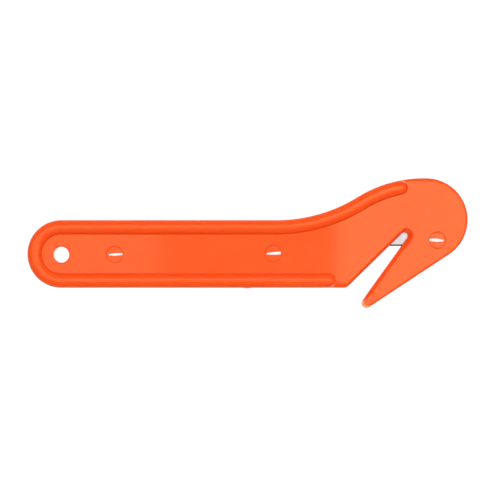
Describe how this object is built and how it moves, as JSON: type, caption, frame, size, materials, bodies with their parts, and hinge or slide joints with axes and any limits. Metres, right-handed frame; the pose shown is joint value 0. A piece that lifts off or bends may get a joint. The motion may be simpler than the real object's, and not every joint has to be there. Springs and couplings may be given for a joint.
{
  "type": "concealed-blade safety cutter",
  "caption": "Flat hook-nosed safety cutter: two moulded half shells with a rounded grip rim, split pins, a hang hole and a blade hidden across the throat of a narrow strap slot.",
  "frame": {"origin": "middle of the knife's side outline, on the plane that the rear rim rests on", "axes": "+X from the butt to the head, +Y from the belly of the grip to its back, +Z out of the front panel, so the knife lies flat with its front up"},
  "size_m": [0.1652, 0.0486, 0.011],
  "materials": {
    "shell_plastic": "bright orange moulded plastic, satin gloss with faint flow marks",
    "pin_plastic": "the same orange plastic, cut flush and slightly duller",
    "blade_steel": "ground strip steel with a fine polished bevel"
  },
  "bodies": {
    "casing": {"front_shell": "shell_plastic", "rear_shell": "shell_plastic", "butt_pin": "pin_plastic", "middle_pin": "pin_plastic", "head_pin": "pin_plastic"},
    "blade": {"blade": "blade_steel"}
  },
  "joints": [
    {"name": "blade_shuttle", "type": "slide", "parent": "casing", "child": "blade", "axis": [1, 0, 0], "range_m": [-0.0025, 0.0025]}
  ]
}
